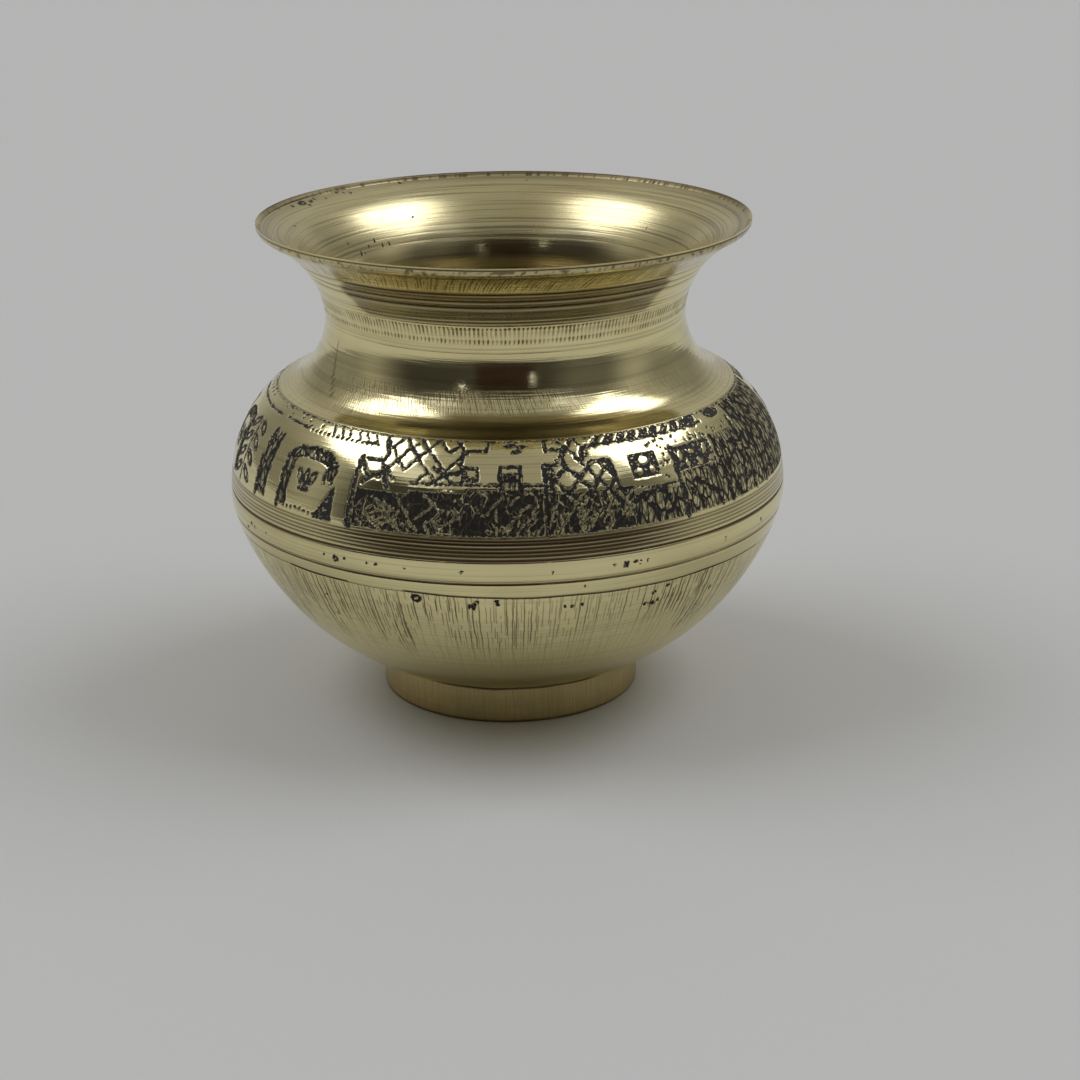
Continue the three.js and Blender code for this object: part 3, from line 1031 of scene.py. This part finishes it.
def neck_outside():
    """The flare, the waist and the neck's foot, with painted dark reflections at the front and a slight
    darkening all round the flare.
    """
    bold, close = (places for places, *_ in NECK_GROOVES)
    fine = [(g, 0.6, 0.2) for g in bold] + [(g, 0.3, 0.15) for g in close]
    fine += [(19.8, 1.7, 0.45), (2.0, 0.4, 0.2)]
    a, s = spread(stations(LIP_START, NECK_SEAM, 1.2, fine), ROUND_FINE)
    h, soot = neck_relief(a, s)
    # A brown painted dark reflection in front, within half so many degrees of the middle, its sides a
    # little ragged.
    half = 38 + 1.05 * np.clip(s, 0, 12) - 1.1 * np.clip(s - 12.5, 0, 9)
    half += 2.6 * (noise(a, s, 3, 0.8, 8) - 0.5) * smooth(s, 6, 9)
    painted_reflection = facing(a, half, 1.6) * smooth(s, 1.2, 2.0) * smooth(s, 17.5, 17.1)
    soot += painted_reflection * (0.02 + 0.64 * smooth(s, 8.4, 9.4))
    soot += 0.06 * smooth(s, 17, 9) + 0.8 * bell(s - 2.0, 0.2)
    # A darker strip over the crease, a painted dark reflection strongest in front, whose upper edge
    # falls away to both sides.
    edge = 34.8 + 3.2 * (a / 42) ** 2
    under = 0.18 + 0.5 * facing(a, 17, 9)
    soot += under * facing(a, 41, 2) * smooth(s - edge, -0.2, 0.2)
    soot += 0.8 * smooth(scratch_distance(a, s), 0.3, 0.1)
    # Slanting scratches in the flare, and above that strip.
    mark = 0.68 * smooth(s, 8.6, 7.6) * smooth(s, 0.4, 1.2)
    base_mark = 0.2 + 0.45 * smooth(a, 25, 5) * smooth(a, -55, -42)
    mark += base_mark * smooth(s, 30, 31.5) * smooth(s - edge, 0.3, -0.3)
    r, z = body.at(s, h)
    return Rings(r, z, ROUND_FINE, s, soot=soot, mark=mark, satin=0.3 * smooth(s, 17, 9))


def neck_inside():
    a, s = spread(stations(0.6, NECK_SEAM - LAP_LENGTH, 0.55)[::-1], ROUND_INSIDE)
    rings = 0.05 * (noise(a * 0, s, 3, 0.9, 31) - 0.5) * smooth(s, 3, 9)
    thinned = thickness(s) - 0.6 * smooth(s, 8, 0.6)
    r, z = body.at(s, -thinned - hand_waviness(a, s, 22) - rings)
    # Painted shade inside the neck: a little all over, heavy down in the well, and some just under the
    # rim.
    soot = 0.15 + 0.58 * smooth(s, 17.2, 19.5) + 0.3 * smooth(s, 4, 1)
    cut = pit_field(RIM_PITS, a, s, 49)
    return Rings(r, z, ROUND_INSIDE, s, cut=cut, satin=smooth(s, 18.5, 16), soot=soot)


def lip_profile():
    """The rim's edge, from the inside over the top and down to the lip's foot, corners eased."""
    inner = in_wall(0.6, LIP_HEIGHT - 0.6)
    top = (LIP_RADIUS, HEIGHT)
    away = np.array(inner) - top
    start = np.array(top) + 0.3 * away / np.hypot(*away)
    end = tuple(float(x) for x in body.at(LIP_START))
    edge = bezier(start, top, top, (LIP_RADIUS, HEIGHT - 0.3), 5)
    face = [(LIP_RADIUS, HEIGHT - drop) for drop in (0.4, 0.5)]
    under = bezier((LIP_RADIUS, HEIGHT - 0.6), (LIP_RADIUS, HEIGHT - 1.1), heading(end, 25, 0.5), end, 9)
    return [inner, *edge, *face, *under[:-1]]


def lip():
    """The rim's edge, with painted shade and a rougher finish behind, its face and underside darkened as
    a painted dark reflection, a dark line round its face and specks under it.
    """
    profile = np.array(lip_profile())
    a, drop = spread(HEIGHT - profile[:, 1], ROUND_FINE)
    behind = smooth(np.abs(a), 80, 105)
    # Painted dark reflection over the face and underside, with a dark line round the face.
    soot = 0.3 * smooth(drop, 0.3, 0.6) + 0.95 * bell(drop - 0.48, 0.16)
    # Painted shade over the back of the rim.
    soot += 0.8 * behind * smooth(drop, 0.7, 0.2)
    specks = smooth(noise(a, drop, 600, 0.5, 12), 0.55, 0.8)
    soot += 0.6 * specks * smooth(drop, 0.6, 0.8)
    return plain_rings(profile, 0, ROUND_FINE, soot=soot, satin=0.4 + 2.4 * behind)


def neck_stack():
    upper, _ = lap(NECK_SEAM)
    return [neck_outside(), plain_rings(upper[:-1], NECK_SEAM), neck_inside(), lip()]


def shoulder_outside():
    """The chased band, the grooves under it and the girth, down to the seam."""
    fine = [(CREASE_AT + 24.4, 0.5, 0.1), (CREASE_AT + 29.0, 0.7, 0.1), (GIRTH_SEAM - 0.2, 0.3, 0.1),
            (CREASE_AT + 22.0, 1.6, 0.25)]
    chased = stations(NECK_SEAM + SPELTER, CREASE_AT + 20.2, 0.36)
    turned = stations(CREASE_AT + 20.2, GIRTH_SEAM, 0.8, fine)[1:]
    along = np.concatenate([chased, turned])
    azimuth = round_azimuths(ROUND_FINE)
    wander = seam_wander(azimuth)[None, :] * smooth(along, GIRTH_SEAM - 2.2, GIRTH_SEAM)[:, None]
    a, s = spread(along, ROUND_FINE, wander)
    below = s - CREASE_AT
    cut, ground = chase_band(azimuth, along - CREASE_AT)
    cut = np.minimum(cut, pit_field(GIRTH_PITS, a, below, 57))
    h = hand_waviness(a, s, 23) - 0.1 * smooth(cut, 0.06, -0.2)
    h -= 0.07 * smooth(cut, 0.0, -0.2) * noise(a, below, 900, 0.4, 9)
    h -= ground * (0.05 + 0.09 * noise(a, below, 520, 0.9, 10))
    soot = 0.14 * ground + 0.06 * smooth(below, 24, 25)
    # Painted dark reflection in a strip under the chased band, at the front.
    soot += 0.62 * facing(a, 30, 12) * smooth(below, 19.6, 20) * smooth(below, 24.6, 24.2)
    for g in BAND_GROOVES_FINE:
        drift = 0.06 * (noise(a, below * 0 + g, 9, 9, 5) - 0.5)
        h += groove(below, g + drift, 0.4, 0.09)
        soot += bell(below - g - drift, 0.19)
    for g, weight, half in BAND_GROOVES_BOLD:
        h += groove(below, g, 2.6 * half, 0.2 * weight)
        soot += weight * bell(below - g, half)
    soot += 0.9 * seam_gap(a) * smooth(s - wander, GIRTH_SEAM - 0.16, GIRTH_SEAM - 0.02)
    r, z = body.at(s, h)
    return Rings(r, z, ROUND_FINE, s, cut=cut, soot=soot, ground=ground)


def hidden_wall(along, track=body, start=0.0):
    """The plain inside of a wall, painted dark as the shade within the pot."""
    r, z = track.at(along, -WALL)
    return Rings(r, z, ROUND_HIDDEN, start + along, soot=0.9, satin=1)


def shoulder_stack():
    upper, _ = lap(GIRTH_SEAM)
    _, lower = lap(NECK_SEAM)
    inside = stations(NECK_SEAM - LAP_LENGTH + SPELTER, GIRTH_SEAM - LAP_LENGTH, 1.6)[::-1]
    return [shoulder_outside(), plain_rings(upper, GIRTH_SEAM), hidden_wall(inside[1:-1]),
            plain_rings(lower, NECK_SEAM)]


def bowl_outside():
    """The bowl, with chatter streaks from the seam down and painted shade over its heel at the front."""
    seam = GIRTH_SEAM + SPELTER
    along = stations(seam, HEEL_AT, 0.66, [(seam, 0.4, 0.1)])
    wander = seam_wander(round_azimuths(ROUND_BOWL))[None, :]
    wander = wander * smooth(along, GIRTH_SEAM + 3.2, seam)[:, None]
    a, s = spread(along, ROUND_BOWL, wander)
    below = s - CREASE_AT
    # Chatter: streaks of uneven length and weight, faint ones all round, and a heavy patch.
    block = noise(a, below * 0, 46, 5, 40)
    reach = 37.5 + 12 * noise(a, below * 0, 60, 5, 41)
    streak = smooth(below, 31.9, 32.3) * smooth(below, reach + 4, reach - 3) * (0.22 + 0.8 * block)
    streak += 0.26 * smooth(below, 33, 36) * smooth(below, 62, 46)
    streak += 0.9 * smooth(np.abs(a - 38.5), 6, 3) * smooth(below, 42, 40) * smooth(below, 32.8, 33.5)
    cut = pit_field(BOWL_PITS, a, below, 55)
    h = hand_waviness(a, s, 24) - 0.25 * smooth(cut, 0.1, -0.2)
    h -= 0.02 * streak * smooth(noise(a, below / 9, 240, 1, 42), 0.5, 0.9)
    soot = 0.5 * seam_gap(a) * smooth(s - wander, seam + 0.1, seam)
    # Painted shade towards the heel, at the front only.
    heel_shade = 0.35 * smooth(s, HEEL_AT - 9, HEEL_AT) + 0.4 * smooth(s, HEEL_AT - 0.5, HEEL_AT)
    soot += heel_shade * facing(a, 55, 18)
    r, z = body.at(s, h * smooth(s, HEEL_AT, HEEL_AT - 0.8))
    return Rings(r, z, ROUND_BOWL, s, cut=cut, soot=soot, mark=streak)


def bowl_stack():
    """The bowl's outside, the seat and the dome under the floor, then the inside going up."""
    seat = plain_rings([HEEL, seat_end], HEEL_AT)
    d = np.linspace(0, underside.distance[-1], 13)[1:-1]
    r, z = underside.at(d)
    under = Rings(r, z, ROUND_HIDDEN, HEEL_AT + 3 + d)
    tip = plain_rings([(POLE_RADIUS, UNDERSIDE_HEIGHT)], HEEL_AT + 30)
    # The inside floor is painted dark as shade, like the inside walls.
    floor_tip = plain_rings([(POLE_RADIUS, UNDERSIDE_HEIGHT + WALL)], HEEL_AT + 30, soot=0.9, satin=1)
    floor = hidden_wall(d[::-1], underside, HEEL_AT)
    inside = stations(GIRTH_SEAM - LAP_LENGTH + SPELTER, HEEL_AT, 1.6)[::-1]
    _, lower = lap(GIRTH_SEAM)
    return [bowl_outside(), seat, under, tip, floor_tip, floor, hidden_wall(inside[:-1]),
            plain_rings(lower, GIRTH_SEAM)]


def foot_stack():
    """The foot ring, whose upper edge is a little wavy."""
    top = HEEL[1] - SPELTER
    heights = np.concatenate([np.linspace(top, FOOT_BEVEL, 18), [0.12, 0.0]])
    radii = np.concatenate([np.full(18, HEEL[0]), [HEEL[0] - 0.14, HEEL[0] - FOOT_BEVEL]])
    a, level = spread(heights, ROUND_SMALL)
    wave = 0.08 * np.sin(np.radians(a) * 7) + 0.05 * np.sin(np.radians(a) * 17 + 1)
    z = level + wave * smooth(level, 6.5, top)
    ringed = 0.03 * (noise(a * 0, level, 3, 0.8, 51) - 0.5)
    r = radii[:, None] + ringed * smooth(level, 0.3, 1)
    # Painted shade: the ring darker all over and darker still down to the floor. The band at the top is
    # the dark seam under the bowl.
    soot = 0.21 + 0.6 * smooth(heights, 0.8, 0.2) + 0.7 * smooth(heights, top - 0.35, top - 0.1)
    outer = Rings(r, z, ROUND_SMALL, HEIGHT - heights, soot=soot, mark=0.25)
    inside = HEEL[0] - FOOT_WALL
    profile = [(inside + FOOT_BEVEL, 0), (inside, FOOT_BEVEL), (inside, 3.5),
               (seat_end[0], seat_end[1] - SPELTER)]
    return [outer, plain_rings(profile, 0)]


def lap_spelter(seam, wander, gap):
    """The brazing metal in a lap: a bead at the seam, and the thin step behind it."""
    upper, lower = lap(seam)
    azimuth = round_azimuths(ROUND_FINE)[None, :]
    s = np.array([[seam + 0.04], [seam + SPELTER / 2], [seam + SPELTER - 0.04]]) + wander(azimuth)
    shown = gap(azimuth) + 0 * s
    r, z = body.at(s, -0.01 - 0.09 * shown)
    bead = Rings(r, z, ROUND_FINE, s, soot=0.1 + 0.8 * shown)
    return [bead, plain_rings([*lower[::-1], *upper[::-1]], seam)]


def foot_spelter():
    edge = HEEL[0] - FOOT_SPELTER_INSET
    high = HEEL[1] - FOOT_SPELTER_INSET * math.tan(math.radians(SEAT_SLOPE))
    profile = [(edge, high), (edge, high - SPELTER), (seat_end[0], seat_end[1] - SPELTER), seat_end]
    return [plain_rings(profile, HEEL_AT, ROUND_SMALL, soot=0.9)]


# ---- Studio ----



def grey(level):
    return colour(1.0, 0.99, 0.96, level)


def cool(level):
    return colour(0.98, 1.0, 1.12, level)


# The studio's areas, each laid over the ones before it: azimuths and elevations in degrees, how
# soft its sides and ends are, its light, and whether it is there both left and right.
STUDIO_AREAS = [
    (95, 150, -12, 32, 12, 12, grey(0.22), True),
    (-80, 70, -12, 40, 20, 3, grey(0.045), False),
    (34, 68, -12, 40, 12, 3, grey(0.13), False),
    (-19, 18, -13, 43, 2, 2, colour(0.026, 0.016, 0.014), False),
    (-37, 34, 43, 85, 3, 3, grey(0.30), False),
    (-68, -37, 43, 55, 3, 3, cool(0.72), False),
    (34, 66, 43, 55, 3, 3, cool(0.72), False),
    (67, 128, 41, 68, 3, 3, cool(2.9), True),
    (-28.9, -28.4, 28, 34, 0.25, 0.25, cool(8.0), False),
    (16.0, 16.3, 15, 30, 0.25, 0.25, cool(5.0), False),
]
FLOOR_RADIUS = 6.0    # metres

# The camera's place in metres, its turns in degrees and its lens in mm.
CAMERA_PLACE = (0.0, -0.45496, 0.18967)
CAMERA_DOWN = 19.313
CAMERA_YAW = 0.828
CAMERA_ROLL = 0.611
CAMERA_LENS = 75.735


def studio_world():
    """A plain studio: two large soft windows to the left and right, and darkness in front."""
    world = bpy.data.worlds.new("studio")
    bpy.context.scene.world = world
    t = Tree(world)
    x, y, z = t.parts(t.node("TexCoord").outputs["Generated"])
    azimuth = t.times(t.math("ARCTAN2", x, t.times(y, -1.0)), 180 / math.pi)
    elevation = t.times(t.math("ARCSINE", z), 180 / math.pi)
    turned = t.math("ABSOLUTE", azimuth)

    def between(value, low, high, soft):
        return t.times(t.ramp(value, low - soft, low + soft), t.ramp(value, high + soft, high - soft))

    sky = t.mix(t.ramp(elevation, 30, 80), grey(0.40), grey(0.34))
    for a0, a1, e0, e1, soft_sides, soft_ends, light, both in STUDIO_AREAS:
        sides = between(turned if both else azimuth, a0, a1, soft_sides)
        sky = t.mix(t.times(sides, between(elevation, e0, e1, soft_ends)), sky, light)
    background = t.node("Background", sky, 1.0)
    t.named("OutputWorld", {"Surface": background.outputs[0]})


def pale_floor():
    mesh = bpy.data.meshes.new("floor")
    turns = np.radians(np.arange(0, 360, 5))
    edge = [(FLOOR_RADIUS * math.cos(x), FLOOR_RADIUS * math.sin(x), 0) for x in turns]
    mesh.from_pydata(edge, [], [tuple(range(len(edge)))])
    mesh.materials.append(pale_paper())
    floor = place("floor", mesh)


def make_camera():
    down, yaw, roll = (math.radians(x) for x in (CAMERA_DOWN, CAMERA_YAW, CAMERA_ROLL))
    ahead = Vector((math.sin(yaw) * math.cos(down), math.cos(yaw) * math.cos(down), -math.sin(down)))
    right = Vector((math.cos(yaw), -math.sin(yaw), 0))
    up = right.cross(ahead)
    x = math.cos(roll) * right - math.sin(roll) * up
    y = math.sin(roll) * right + math.cos(roll) * up
    data = bpy.data.cameras.new("camera")
    data.lens = CAMERA_LENS
    data.sensor_width = 36
    data.clip_start = 0.01
    data.clip_end = 50
    camera = place("camera", data)
    turned = Matrix((x, y, -ahead)).transposed().to_4x4()
    camera.matrix_world = Matrix.Translation(CAMERA_PLACE) @ turned
    bpy.context.scene.camera = camera


make_camera()
studio_world()
pale_floor()
bpy.context.scene.view_settings.view_transform = "Standard"

looks = {
    "turned_brass": brass("turned_brass", BRIGHT_BRASS, WARM_BRASS, 0.4, 0.11, hatch=0.012),
    "chased_brass": brass("chased_brass", BRIGHT_BRASS, DULL_BRASS, 0.35, 0.10, chased=True),
    "bowl_brass": brass("bowl_brass", BRIGHT_BRASS, DULL_BRASS, 0.14, 0.24, 0.14, streaks=0.03),
    "foot_brass": brass("foot_brass", WARM_BRASS, DULL_BRASS, 0.8, 0.36, 0.06, streaks=0.01),
    "spelter": brass("spelter", BRIGHT_BRASS, WARM_BRASS, 0.6, 0.25),
}
pieces = [
    ("neck_shell", neck_stack(), "turned_brass", ["mouth_and_neck"]),
    ("chased_shoulder", shoulder_stack(), "chased_brass", ["shoulder_shell"]),
    ("bowl_shell", bowl_stack(), "bowl_brass", ["lower_bowl"]),
    ("foot_collar", foot_stack(), "foot_brass", ["foot_ring"]),
    ("neck_spelter", lap_spelter(NECK_SEAM, flush, flush), "spelter", ["neck_braze"]),
    ("girth_spelter", lap_spelter(GIRTH_SEAM, seam_wander, seam_gap), "spelter", ["girth_braze"]),
    ("foot_spelter", foot_spelter(), "spelter", ["foot_braze"]),
]
for name, stack, slot, nodes in pieces:
    make_piece(name, stack, looks[slot], nodes)
